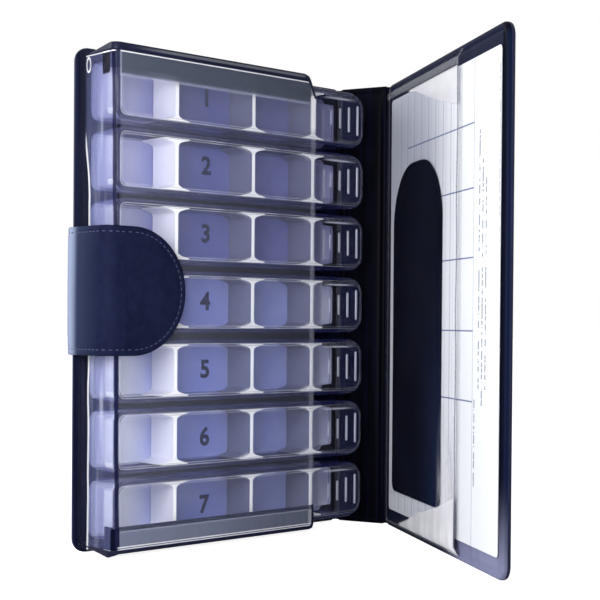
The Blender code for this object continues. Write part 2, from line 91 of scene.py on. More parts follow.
class Value:
    # one output of a node; sums and products with it add Math nodes
    def __init__(self, nodes, socket):
        self.nodes, self.socket = nodes, socket

    def maths(self, operation, *values):
        return self.nodes.node("ShaderNodeMath", {"operation": operation}, dict(enumerate(values)))

    def __add__(self, other):
        return self.maths("ADD", self, other)

    def __radd__(self, other):
        return self.maths("ADD", other, self)

    def __sub__(self, other):
        return self.maths("SUBTRACT", self, other)

    def __rsub__(self, other):
        return self.maths("SUBTRACT", other, self)

    def __mul__(self, other):
        return self.maths("MULTIPLY", self, other)

    def __rmul__(self, other):
        return self.maths("MULTIPLY", other, self)

    def __abs__(self):
        return self.maths("ABSOLUTE", self)

    def most(self, *others):
        return reduce(lambda value, other: self.maths("MAXIMUM", value, other), others, self)

    def least(self, other):
        return self.maths("MINIMUM", self, other)

    def repeat(self, period):
        # the value within one period; the added periods keep it above zero
        return self.maths("MODULO", self + 100 * period, period)

    def step(self, low, high):
        # 0 below low, 1 above high, smooth between
        bounds = {"Value": self, "From Min": low, "From Max": high}
        return self.nodes.node("ShaderNodeMapRange", {"interpolation_type": "SMOOTHSTEP"}, bounds)

    def fall(self, low, high):
        # 1 below low, 0 above high
        return 1 - self.step(low, high)

    def band(self, low, high, soft):
        # 1 between low and high, with soft sides
        return self.step(low - soft, low + soft) * self.fall(high - soft, high + soft)


class Nodes:
    # a node tree and the one way in which nodes are added to it
    def __init__(self, tree):
        self.tree = tree

    def node(self, kind, settings=None, values=None, output=0):
        made = self.tree.nodes.new(kind)
        for key, value in (settings or {}).items():
            setattr(made, key, value)
        for key, value in (values or {}).items():
            self.link(made.inputs[key], value)
        return Value(self, made.outputs[output])

    def link(self, socket, value):
        if isinstance(value, Value):
            self.tree.links.new(value.socket, socket)
        elif isinstance(value, tuple) and len(value) == 3 and len(socket.default_value) == 4:
            socket.default_value = (*value, 1.0)
        else:
            socket.default_value = value


class Finish(Nodes):
    # one Principled material and the nodes that feed it
    def __init__(self, name, colour, roughness, settings=None):
        self.material = bpy.data.materials.new(name)
        self.material.use_nodes = True
        super().__init__(self.material.node_tree)
        self.shader = self.tree.nodes["Principled BSDF"]
        self.put("Base Color", colour)
        self.put("Roughness", roughness)
        for key, value in (settings or {}).items():
            self.put(key, value)
        self.place = self.node("ShaderNodeTexCoord", output="Object")

    def put(self, key, value):
        self.link(self.shader.inputs[key], value)

    def apart(self, vector):
        return [self.node("ShaderNodeSeparateXYZ", None, {0: vector}, i) for i in range(3)]

    def axes(self):
        # the three coordinates in millimetres
        return [axis * (1 / metres) for axis in self.apart(self.place)]

    def restAxes(self, mesh):
        # the three coordinates that a bending piece's corners have at rest, in millimetres
        kept = mesh.attributes.new("rest", "FLOAT_VECTOR", "POINT")
        for corner in mesh.vertices:
            kept.data[corner.index].vector = corner.co / metres
        return self.apart(self.node("ShaderNodeAttribute", {"attribute_name": "rest"}, output="Vector"))

    def stretched(self, scales):
        return self.node("ShaderNodeVectorMath", {"operation": "MULTIPLY"}, {0: self.place, 1: scales})

    def noise(self, size, detail=2.0, scales=None):
        # noise whose grains are about size millimetres, longer along an axis with a scale below 1
        vector = self.stretched(scales) if scales else self.place
        values = {"Vector": vector, "Scale": 1 / (size * metres), "Detail": detail}
        return self.node("ShaderNodeTexNoise", None, values)

    def cells(self, size):
        values = {"Vector": self.place, "Scale": 1 / (size * metres)}
        return self.node("ShaderNodeTexVoronoi", {"feature": "SMOOTH_F1"}, values)

    def mix(self, low, high, factor):
        return self.node("ShaderNodeMix", {"data_type": "RGBA"}, {0: factor, 6: low, 7: high}, 2)

    def paint(self, colour, *covers):
        # the base colour: a first colour and others over it, each where its own factor is 1
        for cover, factor in covers:
            colour = self.mix(colour, cover, factor)
        self.put("Base Color", colour)
        return colour

    def bump(self, height, depth):
        # height runs from 0 to 1 and depth is in millimetres
        values = {"Height": height, "Distance": depth * metres, "Strength": 1.0}
        self.put("Normal", self.node("ShaderNodeBump", None, values))

    def outside(self, colour, gloss, factor):
        # where factor is 1, a second shader with its own colour and gloss, and the same roughness and bump
        values = {"Base Color": colour, "Specular IOR Level": gloss}
        for key in ("Roughness", "Normal"):
            values[key] = Value(self, self.shader.inputs[key].links[0].from_socket)
        other = self.node("ShaderNodeBsdfPrincipled", None, values)
        values = {0: factor, 1: Value(self, self.shader.outputs[0]), 2: other}
        both = self.node("ShaderNodeMixShader", None, values)
        self.link(self.tree.nodes["Material Output"].inputs[0], both)


def arc(start, end, steps):
    # the cosines and sines from start to end degrees in equal steps
    angles = [math.radians(start + (end - start) * i / steps) for i in range(steps + 1)]
    return [(math.cos(angle), math.sin(angle)) for angle in angles]


def roundedOutline(left, right, low, high, radii, inset=0.0, steps=8):
    # a rectangle with four round corners, counterclockwise from the lower left
    corners = [(left, low, 180), (right, low, 270), (right, high, 0), (left, high, 90)]
    points = []
    for (x, y, start), radius in zip(corners, radii if isinstance(radii, tuple) else (radii,) * 4):
        inner = max(radius - inset, 0.02)
        centreX = x + (1 if x == left else -1) * (inset + inner)
        centreY = y + (1 if y == low else -1) * (inset + inner)
        points += [(centreX + inner * c, centreY + inner * s) for c, s in arc(start, start + 90, steps)]
    return points


def stack(outline, profile, base=0.0):
    # rings of an outline, one for each (inset, height) of the profile
    return [[(x, y, base + height) for x, y in outline(inset)] for inset, height in profile]


def loft(rings):
    # closed rings with the same number of points, joined by quads and closed at both ends
    count = len(rings[0])
    faces = []
    for k in range(len(rings) - 1):
        for i in range(count):
            j = (i + 1) % count
            faces.append((k * count + i, k * count + j, (k + 1) * count + j, (k + 1) * count + i))
    faces.append(tuple(reversed(range(count))))
    faces.append(tuple(range((len(rings) - 1) * count, len(rings) * count)))
    return [point for ring in rings for point in ring], faces


def sheet(rows, thickness):
    # a grid of points and unit normals, given a thickness behind its front side
    deep, wide = len(rows), len(rows[0])
    points = [p for row in rows for p, n in row]
    points += [tuple(p[i] - n[i] * thickness for i in range(3)) for row in rows for p, n in row]
    back = deep * wide
    faces = []
    for r in range(deep - 1):
        for c in range(wide - 1):
            a, b = r * wide + c, r * wide + c + 1
            d, e = a + wide, b + wide
            faces.append((a, b, e, d))
            faces.append((back + d, back + e, back + b, back + a))
    edge = list(range(wide))
    edge += [r * wide + wide - 1 for r in range(1, deep)]
    edge += [(deep - 1) * wide + c for c in range(wide - 2, -1, -1)]
    edge += [r * wide for r in range(deep - 2, 0, -1)]
    for a, b in zip(edge, edge[1:] + edge[:1]):
        faces.append((b, a, back + a, back + b))
    return points, faces


def alongPath(path):
    # each point of a path with the direction in which the path runs there
    for i, point in enumerate(path):
        before, after = path[max(i - 1, 0)], path[min(i + 1, len(path) - 1)]
        yield Vector(point), (Vector(after) - Vector(before)).normalized()


def makeMesh(name, forms, angle=35):
    # several closed forms in one mesh; edges sharper than the angle stay sharp
    work = bmesh.new()
    for points, faces in forms:
        made = [work.verts.new(Vector(p) * metres) for p in points]
        for face in faces:
            work.faces.new([made[i] for i in face])
    bmesh.ops.recalc_face_normals(work, faces=work.faces)
    for face in work.faces:
        face.smooth = True
    mesh = bpy.data.meshes.new(name)
    work.to_mesh(mesh)
    work.free()
    mesh.set_sharp_from_angle(angle=math.radians(angle))
    return mesh


def addObject(name, data, place):
    shown = bpy.data.objects.new(name, data)
    bpy.context.scene.collection.objects.link(shown)
    shown.matrix_world = place
    return shown


def makePiece(name, shape, place, finish, body=None, nodes=(), angle=35):
    # a piece of the object: its mesh or forms, place, finish, what it moves with and the nodes it stands for
    mesh = makeMesh(name, shape, angle) if isinstance(shape, list) else shape
    shown = addObject(name, mesh, place)
    if not mesh.materials:
        mesh.materials.append(finish.material)
    if body:
        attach(shown, body)
    if nodes:
        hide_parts(*nodes)
    return shown


view = {
    "place": (-360.5, -446.3, 89.93), "yaw": 42.536, "pitch": -0.643, "roll": 0.438,
    "focal": 1366.07, "rise": 37.0, "pixels": 600.0, "sensor": 36.0, "clip": (0.01, 20.0),
}


def makeCamera():
    yaw, pitch, roll = (math.radians(angle) for angle in pick(view, "yaw pitch roll"))
    forward = Vector((math.sin(yaw) * math.cos(pitch), math.cos(yaw) * math.cos(pitch), math.sin(pitch)))
    level = Vector((math.cos(yaw), -math.sin(yaw), 0))
    up = level.cross(forward)
    right = level * math.cos(roll) + up * math.sin(roll)
    up = up * math.cos(roll) - level * math.sin(roll)
    data = bpy.data.cameras.new("camera")
    data.sensor_width = view["sensor"]
    data.lens = view["focal"] / view["pixels"] * view["sensor"]
    data.shift_y = view["rise"] / view["pixels"]
    data.clip_start, data.clip_end = view["clip"]
    place = Matrix.Translation(Vector(view["place"]) * metres)
    turned = Matrix((right, up, -forward)).transposed().to_4x4()
    bpy.context.scene.camera = addObject("camera", data, place @ turned)


studio = {
    "world": 0.16, "worldColour": (0.95, 0.97, 1.0), "white": (1.0, 1.0, 1.0), "floor": (0.88, 0.88, 0.89),
    "floorRoughness": 0.9, "floorGlow": 0.92, "floorReach": 6, "floorDrop": 0.2, "clearLayers": 32,
}
lamps = {
    # place, aim, width, power and colour
    "near": ((-215, -150, 150), (-20, 0, 97), 150, 0.70, (1.0, 1.0, 1.0)),
    "card": ((-460, 330, 330), (60, -80, 97), 260, 1.86, (1.0, 1.0, 1.0)),
    "front": ((-150, -900, 420), (0, 0, 97), 600, 0.98, (1.0, 0.99, 0.97)),
}


def makeWorld():
    # soft light on the object, and white where the camera, gloss or clear plastic shows the background
    world = bpy.data.worlds.new("studio")
    bpy.context.scene.world = world
    world.use_nodes = True
    nodes = Nodes(world.node_tree)
    background = world.node_tree.nodes["Background"]
    nodes.link(background.inputs["Color"], studio["worldColour"])
    nodes.link(background.inputs["Strength"], studio["world"])
    white = nodes.node("ShaderNodeBackground", None, {"Color": studio["white"]})
    rays = [nodes.node("ShaderNodeLightPath", output="Is %s Ray" % kind)
            for kind in ("Camera", "Glossy", "Transmission")]
    values = {0: rays[0].most(*rays[1:]), 1: Value(nodes, background.outputs[0]), 2: white}
    seen = nodes.node("ShaderNodeMixShader", None, values)
    nodes.link(world.node_tree.nodes["World Output"].inputs[0], seen)


def makeStudio():
    for name, (at, aim, width, power, colour) in lamps.items():
        data = bpy.data.lights.new(name, "AREA")
        data.size, data.energy, data.color = width * metres, power, colour
        turned = (Vector(aim) - Vector(at)).to_track_quat("-Z", "Y").to_matrix().to_4x4()
        addObject(name, data, Matrix.Translation(Vector(at) * metres) @ turned)
    finish = Finish("floorPaper", studio["floor"], studio["floorRoughness"])
    finish.put("Emission Color", studio["white"])
    seen = finish.node("ShaderNodeLightPath", output="Is Camera Ray")
    finish.put("Emission Strength", seen * studio["floorGlow"])
    floor = bpy.data.meshes.new("floor")
    reach = studio["floorReach"]
    corners = [(-reach, -reach, 0), (reach, -reach, 0), (reach, reach, 0), (-reach, reach, 0)]
    floor.from_pydata(corners, [], [(0, 1, 2, 3)])
    floor.materials.append(finish.material)
    addObject("floor", floor, Matrix.Translation((0, 0, -studio["floorDrop"] * metres)))
    bpy.context.scene.view_settings.view_transform = "Standard"
    bpy.context.scene.cycles.transparent_max_bounces = studio["clearLayers"]


makeCamera()
makeWorld()
makeStudio()
print("camera and light made")

vinyl = {
    # the dark and the light colour, and the sizes of patches, fine changes, grain and creases
    "colour": (0.0085, 0.0115, 0.038), "light": (0.0200, 0.0260, 0.072), "roughness": 0.44, "patch": 38,
    "fine": 3.0, "grain": 0.9, "crease": 9.0, "depth": 0.05, "gloss": 0.03,
}
outerVinyl = {**vinyl, "gloss": 0.17}


def vinylFinish(name, look):
    # leather-like embossing, a faint colour change and worn, smoother patches
    finish = Finish(name, look["colour"], look["roughness"], {"Specular IOR Level": look["gloss"]})
    patches = finish.noise(look["patch"], 3)
    fine = finish.noise(look["fine"], 4)
    finish.colour = finish.paint(look["colour"], (look["light"], (patches * 0.6 + fine * 0.4).step(0.35, 0.7)))
    finish.put("Roughness", patches * 0.16 + (look["roughness"] - 0.08) + fine * 0.05)
    pebbles = finish.cells(look["grain"])
    creases = finish.noise(look["crease"], 3)
    specks = finish.noise(look["grain"] * 0.4, 2)
    finish.bump(pebbles * 0.6 + specks * 0.25 + creases * 0.9, look["depth"])
    return finish


panelLook = {
    # the inner side's dark and light colour; the three panels are one vinyl, and the spine's far darker pair is painted
    # shade inside the fold
    "base": ((0.0020, 0.0032, 0.014), (0.0050, 0.0070, 0.026)),
    "spine": ((0.0006, 0.0008, 0.0028), (0.0022, 0.0028, 0.0110)),
    "cover": ((0.0045, 0.0070, 0.024), (0.0070, 0.0105, 0.036)),
    # the cover's inner side: the card's painted shadow beside it, painted light on the free edge and a painted
    # reflection of the floor in the pale lower corner
    "shade": (0.0010, 0.0018, 0.008), "cardShadowAt": (136.0, 139.6),
    "edge": (0.008, 0.015, 0.050), "litEdgeFrom": (139.8, 140.8),
    "low": (0.20, 0.21, 0.33), "floorReflectionTo": (2.0, 42.0), "floorReflectionFrom": (70, 100),
    "outerLevels": (-1.8, -1.4),
}


def panelFinish(body):
    # smooth vinyl with faint upright streaks inside, and grained vinyl outside
    finish = vinylFinish(body + "Vinyl", vinyl)
    x, y, z = finish.axes()
    streaks = finish.noise(3.0, 3, (1, 0.03, 1))
    dark, light = panelLook[body]
    covers = [(light, streaks.step(0.42, 0.7))]
    if body == "cover":
        # painted light on the cover: the card's shadow beside it, light on the free edge and the floor's reflection low
        # down
        smears = finish.noise(7.0, 4, (1, 0.3, 1))
        low = y.fall(*panelLook["floorReflectionTo"]) * x.step(*panelLook["floorReflectionFrom"]) * (0.75 + smears * 0.5)
        covers += [(panelLook["shade"], x.band(*panelLook["cardShadowAt"], 0.4)),
                   (panelLook["edge"], x.step(*panelLook["litEdgeFrom"]) * 0.8),
                   (panelLook["low"], (low * low).least(1.0))]
    finish.paint(dark, *covers)
    worn = finish.mix(finish.colour, vinyl["light"], finish.cells(vinyl["grain"]) * 0.7)
    finish.outside(worn, outerVinyl["gloss"], z.fall(*panelLook["outerLevels"]))
    return finish


# (inset, height above the inner face) from the middle to the edge of a panel's face
panelRim = [
    (4.6, 0.0), (3.9, -0.02), (3.35, -0.20), (3.0, -0.30), (2.6, -0.30), (2.3, -0.16), (1.9, -0.03),
    (1.4, 0.0), (0.75, -0.06), (0.34, -0.28), (0.10, -0.70), (0.0, -1.25),
]


def panelForm(left, right, radii):
    outline = lambda inset: roundedOutline(left, right, 0, wallet["height"], radii, inset)
    back = [(inset, -wallet["thickness"] - height) for inset, height in reversed(panelRim)]
    return loft(stack(outline, panelRim) + stack(outline, back))


def makePanels():
    width, reach, corner, sharp = pick(wallet, "width hingeReach corner foldCorner")
    shapes = {
        "base": (0, width, (corner, sharp, sharp, corner)),
        "spine": (reach, wallet["spineWidth"] - reach, sharp),
        "cover": (reach, reach + width, (sharp, corner, corner, sharp)),
    }
    for body, shape in shapes.items():
        makePiece(body + "Panel", [panelForm(*shape)], panelFrame[body], panelFinish(body), body,
                  (body + "_skin", body + "_lining"))


fold = {
    "steps": 14, "into": 3.4, "grip": 1.2, "bow": 0.55, "height": 194.2, "thick": 2.7, "thin": 1.7, "round": 0.8,
    "outerFrom": 0.3,
}
# the inner side of each fold is as dark as the spine: painted shade inside the fold
foldVinyl = {
    **vinyl, "colour": (0.0008, 0.0010, 0.0042), "light": (0.0028, 0.0034, 0.0140), "roughness": 0.46,
    "grain": 0.45, "depth": 0.03,
}
foldFinish = vinylFinish("foldVinyl", foldVinyl)
foldOuterFinish = vinylFinish("foldOuterVinyl", outerVinyl)


def makeFold(name, axis, before, after, node):
    # a soft band of vinyl round a hinge line, curved on the side that the wallet opens from
    start, end = axis - before * fold["into"], axis + after * fold["into"]
    outward = (before - after).normalized()
    control = axis + outward * fold["bow"]
    shares = [i / fold["steps"] for i in range(fold["steps"] + 1)]
    path = [start * (1 - t) ** 2 + control * 2 * t * (1 - t) + end * t ** 2 for t in shares]
    low, high = (wallet["height"] - fold["height"]) / 2, (wallet["height"] + fold["height"]) / 2
    rings = []
    for t, (point, along) in zip(shares, alongPath(path)):
        across = Vector((-along.y, along.x))
        half = (fold["thick"] - (fold["thick"] - fold["thin"]) * math.sin(math.pi * t) ** 2) / 2
        outline = roundedOutline(-half, half, low, high, min(half, fold["round"]), 0, 4)
        rings.append([(*(point + across * s), z) for s, z in outline])
    mesh = makeMesh(name, [loft(rings)])
    for face in mesh.polygons:
        face.material_index = 1 if face.normal.dot(outward.to_3d()) > fold["outerFrom"] else 0
    shown = makePiece(name, mesh, rowFrame, foldFinish, nodes=(node,))
    mesh.materials.append(foldOuterFinish.material)
    start, end = start + before * fold["grip"], end - after * fold["grip"]
    start.to_3d() * metres
    end.to_3d() * metres
    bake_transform(shown)


makePanels()
makeFold("baseFold", spineAxis, directions["base"], directions["spine"], "base_fold")
makeFold("coverFold", coverAxis, directions["spine"], directions["cover"], "cover_fold")
print("wallet made")

strap = {
    "low": 76.5, "high": 125.5, "side": -70.6, "back": 2.75, "front": -23.35, "thickness": 1.7,
    "turn": 5.0, "backTurn": 3.2, "tailEnd": -44.2, "tongueStart": -62.0, "tip": -33.5, "rim": 1.9,
    "puff": 0.55, "bendReach": 6, "tailReach": 5,
}
stitching = {"pitch": 2.3, "length": 1.4, "width": 0.38, "inset": 2.3, "sink": 0.1, "rings": 7, "sides": 6}
strapVinyl = {
    **vinyl, "colour": (0.0045, 0.0060, 0.021), "light": (0.0085, 0.0115, 0.036), "roughness": 0.46,
    "grain": 0.5, "depth": 0.045,
}
strapSideVinyl = {**strapVinyl, "roughness": 0.5, "gloss": 0.02}
strapLook = {
    # lit: painted light on the strap's side; bend: a painted highlight where it bends back
    "lit": (0.028, 0.038, 0.080), "litFrom": (-21, 0), "bend": (0.27, 0.315, 0.455), "bendHighlightFrom": (-4.8, 1.0),
    "bendHighlightTo": (-71.3, -70.5), "thread": (0.020, 0.025, 0.065), "threadLight": (0.075, 0.090, 0.170),
}


def strapSideFinish(name, mesh):
    # the length round the edge, painted lighter towards the back as light and pale where it bends back as a painted
    # highlight
    finish = vinylFinish(name + "Vinyl", strapSideVinyl)
    x, y, z = finish.restAxes(mesh)
    streaks = finish.noise(3.0, 3, (1, 1, 0.06))
    bend = (y + streaks * 3).step(*strapLook["bendHighlightFrom"]) * x.fall(*strapLook["bendHighlightTo"])
    lit = y.step(*strapLook["litFrom"])
    finish.paint(finish.colour, (strapLook["lit"], lit * 0.8), (strapLook["bend"], bend * 0.9))
    return finish


def makeThreadFinish():
    finish = Finish("strapThread", strapLook["thread"], 0.6, {"Specular IOR Level": 0.2})
    finish.paint(strapLook["thread"], (strapLook["threadLight"], finish.noise(0.7, 2)))
    finish.bump(finish.noise(0.25, 1), 0.05)
    return finish


threadFinish = makeThreadFinish()


def stitch(centre, along, out):
    # one stitch: a short round bar, its ends sunk in the vinyl
    length, width = pick(stitching, "length width")
    across = along.cross(out)
    rings = []
    for k in range(stitching["rings"]):
        t = k / (stitching["rings"] - 1) * 2 - 1
        girth = width * (0.5 - 0.28 * t ** 4)
        middle = centre + along * t * length / 2 + out * ((1 - t ** 4) * width * 0.55 - width * 0.35)
        turns = arc(0, 360, stitching["sides"])[:-1]
        rings.append([tuple(middle + across * girth * c + out * girth * 0.7 * s) for c, s in turns])
    return loft(rings)


def strapPath(start, corner, end, turn, steps):
    # two straight runs with a round corner between them, in plan
    start, corner, end = Vector(start), Vector(corner), Vector(end)
    toStart, toEnd = (start - corner).normalized(), (end - corner).normalized()
    path = [start.lerp(corner + toStart * turn, i / 4) for i in range(4)]
    centre = corner + (toStart + toEnd) * turn
    path += [centre - toEnd * turn * c - toStart * turn * s for c, s in arc(0, 90, steps)]
    path += [(corner + toEnd * turn).lerp(end, i / 4) for i in range(1, 5)]
    return path


def bandForm(path):
    # the strap's cross-section: two layers with pressed rims and a soft middle, swept along the path
    low, high, rim, puff = pick(strap, "low high rim puff")
    half = strap["thickness"] / 2
    face = [(0.25, -0.2), (0.7, -0.02), (rim - 0.4, 0), (rim, -0.16), (rim + 0.5, -0.2), (rim + 1.4, 0.05)]
    middle = [(rim + 1.4 + (high - low - 2 * rim - 2.8) * i / 8, 0.05 + puff * 0.25 * math.sin(math.pi * i / 8))
              for i in range(1, 8)]
    upper = [(high - low - z, s) for z, s in reversed(face)]
    section = [(low + z, half + s) for z, s in [(0, -0.5)] + face + middle + upper + [(high - low, -0.5)]]
    section += [(high, -half + 0.5), (high - 0.3, -half + 0.1), (high - 0.8, -half), (low + 0.8, -half),
                (low + 0.3, -half + 0.1), (low, -half + 0.5)]
    rings = []
    for point, along in alongPath(path):
        across = Vector((along.y, -along.x))
        rings.append([(*(point + across * s), z) for z, s in section])
    return loft(rings)


def stitchShares(length):
    # where the stitches of a row lie, at a steady pitch, as shares of its length
    count = int(length // stitching["pitch"])
    return [(k + 0.5) / count for k in range(count)]


def stitchesAlong(path, levels):
    # stitches along a path in plan, on its outer side
    lift = strap["thickness"] / 2 - stitching["sink"]
    lengths = [0.0]
    for a, b in zip(path, path[1:]):
        lengths.append(lengths[-1] + (b - a).length)
    made = []
    for distance in [share * lengths[-1] for share in stitchShares(lengths[-1])]:
        i = max(n for n in range(len(lengths) - 1) if lengths[n] <= distance)
        share = (distance - lengths[i]) / (lengths[i + 1] - lengths[i])
        along = (path[i + 1] - path[i]).normalized()
        across = Vector((along.y, -along.x))
        spot = path[i].lerp(path[i + 1], share) + across * lift
        made += [stitch(Vector((*spot, z)), along.to_3d(), across.to_3d()) for z in levels]
    return made


def makeStrapRuns(levels):
    # the length round the edge, in two pieces that meet at the middle of the side
    side, back, front, start, reach, tail = pick(strap, "side back front tongueStart bendReach tailReach")
    middle = (back + front) / 2
    runs = {
        "strapBack": (strapPath((strap["tailEnd"], back), (side, back), (side, middle), strap["backTurn"], 8),
                      ("base", "strap_side"), "strap_tail", (side + tail, back, 0), (side, back - tail, 0)),
        "strapSide": (strapPath((side, middle), (side, front), (start, front), strap["turn"], 12),
                      ("strap_side", "strap_tongue"), "strap_side", (side, front + reach, 0),
                      (side + reach, front, 0)),
    }
    for name, (path, bodies, node, start, end) in runs.items():
        start, end = Vector(start) * metres, Vector(end) * metres
        mesh = makeMesh(name, [bandForm(path)])
        shown = makePiece(name, mesh, rowFrame, strapSideFinish(name, mesh), nodes=(node,))
        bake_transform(shown)
        shown = makePiece(name + "Stitches", stitchesAlong(path, levels), rowFrame, threadFinish)
        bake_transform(shown)


def tongueOutline(inset):
    # the strap's round end, from the straight lower edge round the tip to the upper one
    low, high = strap["low"] + inset, strap["high"] - inset
    radius = (high - low) / 2
    centreX, centreY = strap["tip"] - (strap["high"] - strap["low"]) / 2, (low + high) / 2
    tip = [(centreX + radius * c, centreY + radius * s) for c, s in arc(-90, 90, 40)]
    return [(strap["tongueStart"], low), *tip, (strap["tongueStart"], high)]


def tongueStitches(levels):
    # one row round the tip and one along each straight edge
    half, radius = strap["thickness"] / 2, (strap["high"] - strap["low"]) / 2
    centre = Vector((strap["tip"] - radius, (strap["low"] + strap["high"]) / 2, half))
    radius -= stitching["inset"]
    out = Vector((0, 0, 1))
    made = []
    for share in stitchShares(math.pi * radius):
        angle = math.radians(-90 + 180 * share)
        spot = centre + Vector((radius * math.cos(angle), radius * math.sin(angle), -stitching["sink"]))
        made.append(stitch(spot, Vector((-math.sin(angle), math.cos(angle), 0)), out))
    start = strap["tongueStart"]
    for z in levels:
        for share in stitchShares(centre.x - start):
            spot = Vector((start + (centre.x - start) * share, z, half - stitching["sink"]))
            made.append(stitch(spot, Vector((1, 0, 0)), out))
    return made


def makeTongue(levels):
    half, rim, puff = strap["thickness"] / 2, strap["rim"], strap["puff"]
    profile = [(0.0, -0.5), (0.25, -0.2), (0.7, -0.02), (rim - 0.4, 0.0), (rim, -0.16), (rim + 0.5, -0.2),
               (rim + 1.4, 0.05), (rim + 3.2, 0.12), (rim + 6.0, 0.12 + puff * 0.35),
               (rim + 10.0, 0.12 + puff * 0.6), (rim + 15.0, 0.12 + puff * 0.7)]
    rings = stack(tongueOutline, reversed(profile), half)
    rings += stack(tongueOutline, ((0, 0.5), (0.3, 0.1), (0.8, 0.0)), -half)
    place = Matrix(((1, 0, 0, 0), (0, 0, -1, strap["front"] * metres), (0, 1, 0, 0), (0, 0, 0, 1)))
    makePiece("strapTongue", [loft(rings)], place, vinylFinish("strapVinyl", strapVinyl),
              "strap_tongue", ("strap_outer", "strap_lining"))
    makePiece("strapTongueStitches", tongueStitches(levels), place, threadFinish, "strap_tongue")


stitchLevels = (strap["low"] + stitching["inset"], strap["high"] - stitching["inset"])
makeStrapRuns(stitchLevels)
makeTongue(stitchLevels)
print("strap made")

box = {
    "count": 7, "upper": 3, "width": 24.2, "pitch": 26.9, "length": 132.8, "depth": 18.7, "wall": 1.3,
    "floor": 1.2, "draft": 0.3, "slope": 9.5, "corner": 4.2, "endCorner": 6.0, "floorRound": 1.4,
    "rimRound": 0.9, "left": 5.2, "back": 0.3, "lowest": 16.7,
    # the end wall is lower by drop: from which x, over which length, and over which height below the rim
    "drop": 2.1, "dropFrom": 125.0, "dropOver": 3.0, "dropBelow": 5.0, "dropWithin": 4.6,
}
lid = {
    "low": 17.0, "flange": 0.8, "right": 131.4, "bodyRight": 131.0, "corner": 3.4, "bodyCorner": 2.7,
    "endCorner": 5.5, "gap": 0.3, "groove": 0.7, "ribs": 4, "ribPitch": 5.3, "ribWidth": 1.2, "ribShort": 6.6,
    "ribLong": 13.0, "ribHeight": 0.5, "ribRound": 0.55, "ribFromEnd": 4.2, "recess": 0.14,
}
divider = {
    "shares": (0.227, 0.524, 0.775), "web": 0.7, "reach": 6.2, "arm": 0.45, "flare": 3.2, "low": 1.5,
    "high": 16.5, "span": 10.2, "steps": 10,
}


def trayRing(depth, inset):
    # one level of the drafted walls; the sloping end wall is lower where the lid slides out
    share = 1 - depth / box["depth"]
    draft = box["draft"] * share
    half = box["width"] / 2 - draft
    radii = (box["corner"], box["endCorner"], box["endCorner"], box["corner"])
    ring = []
    for x, y in roundedOutline(draft, box["length"] - box["slope"] * share, -half, half, radii, inset, 9):
        near = min(max((x - box["dropFrom"]) / box["dropOver"], 0), 1)
        high = min(max((depth - box["depth"] + box["dropBelow"]) / box["dropWithin"], 0), 1)
        drop = near * high * box["drop"]
        ring.append((x - drop * box["slope"] / box["depth"], y, depth - drop))
    return ring


def trayMesh():
    # (height, inset) up the outer side, over the rim and down the inner side with the lid's groove
    radius, wall, top, rim, floor = pick(box, "floorRound wall depth rimRound floor")
    groove = wall - 0.62
    levels = [(radius - radius * c, radius - radius * s) for c, s in arc(0, 90, 4)]
    levels += [(top * 0.5, 0.0), (top - rim, 0.0), (top - rim * 0.55, 0.08), (top - rim * 0.2, 0.3), (top, 0.62),
               (top, 0.85), (top - 0.12, 1.15), (top - 0.35, wall), (top - 0.62, wall), (top - 0.7, wall - 0.1),
               (top - 0.75, groove), (top - 1.85, groove), (top - 1.9, wall), (floor + 4.0, wall),
               (floor + 1.6, wall + 0.06), (floor + 0.7, wall + 0.4), (floor + 0.15, wall + 1.0),
               (floor, wall + 1.8)]
    return makeMesh("dayTray", [loft([trayRing(*level) for level in levels])], 40)


def lidOutline(wall, right, corner):
    # the outline of the lid's flange or body, a gap away from a wall
    half = box["width"] / 2 - wall - lid["gap"]
    radii = (corner, lid["endCorner"], lid["endCorner"], corner)
    return lambda inset: roundedOutline(wall + lid["gap"], right, -half, half, radii, inset)


def lidMesh():
    low, thick, recess, rib = pick(lid, "low flange recess ribHeight")
    top = box["depth"]
    flange = lidOutline(box["wall"] - lid["groove"], lid["right"], lid["corner"])
    body = lidOutline(box["wall"], lid["bodyRight"], lid["bodyCorner"])
    rings = stack(flange, ((0.15, 0.0), (0.0, 0.15), (0.0, thick - 0.12), (0.12, thick)), low)
    rings += stack(body, ((0.0, low + thick + 0.02 - top), (0.0, -0.25), (0.08, -0.07), (0.3, 0.0), (0.95, 0.0),
                          (1.15, -0.05), (1.3, -recess)), top)
    forms = [loft(rings)]
    wide = lid["ribWidth"] / 2
    for i in range(lid["ribs"]):
        x = lid["right"] - lid["ribFromEnd"] - (lid["ribs"] - 1 - i) * lid["ribPitch"]
        half = (lid["ribShort"] + (lid["ribLong"] - lid["ribShort"]) * i / (lid["ribs"] - 1)) / 2
        bar = lambda inset: roundedOutline(x - wide, x + wide, -half, half, lid["ribRound"], inset, 4)
        forms.append(loft(stack(bar, ((0.0, 0.01 - recess), (0.0, rib - 0.3), (0.1, rib - 0.1), (0.32, rib)), top)))
    mesh = makeMesh("dayLid", forms, 40)
    for face in mesh.polygons:
        face.material_index = 1 if -0.05 < face.center.z / metres - top < -0.001 else 0
    return mesh


def dividerMesh():
    # a web whose ends flare in a hollow curve to flanges along the tray's walls
    web, reach, arm, span, flare = pick(divider, "web reach arm span flare")
    shares = [i / divider["steps"] for i in range(divider["steps"] + 1)]
    side = [(web + (reach - web) * t ** 2.2, span - flare + (flare - arm) * t ** 0.75) for t in shares]
    side += [(reach, span - 0.15), (reach - 0.15, span)]
    upper = side + [(-x, y) for x, y in reversed(side)]
    outline = upper + [(-x, -y) for x, y in upper]
    return makeMesh("dayDivider", [loft([[(x, y, divider[end]) for x, y in outline] for end in ("low", "high")])], 30)


def clearFinish(name, colour, roughness, settings=None):
    return Finish(name, colour, roughness, {"IOR": 1.49, **(settings or {})})


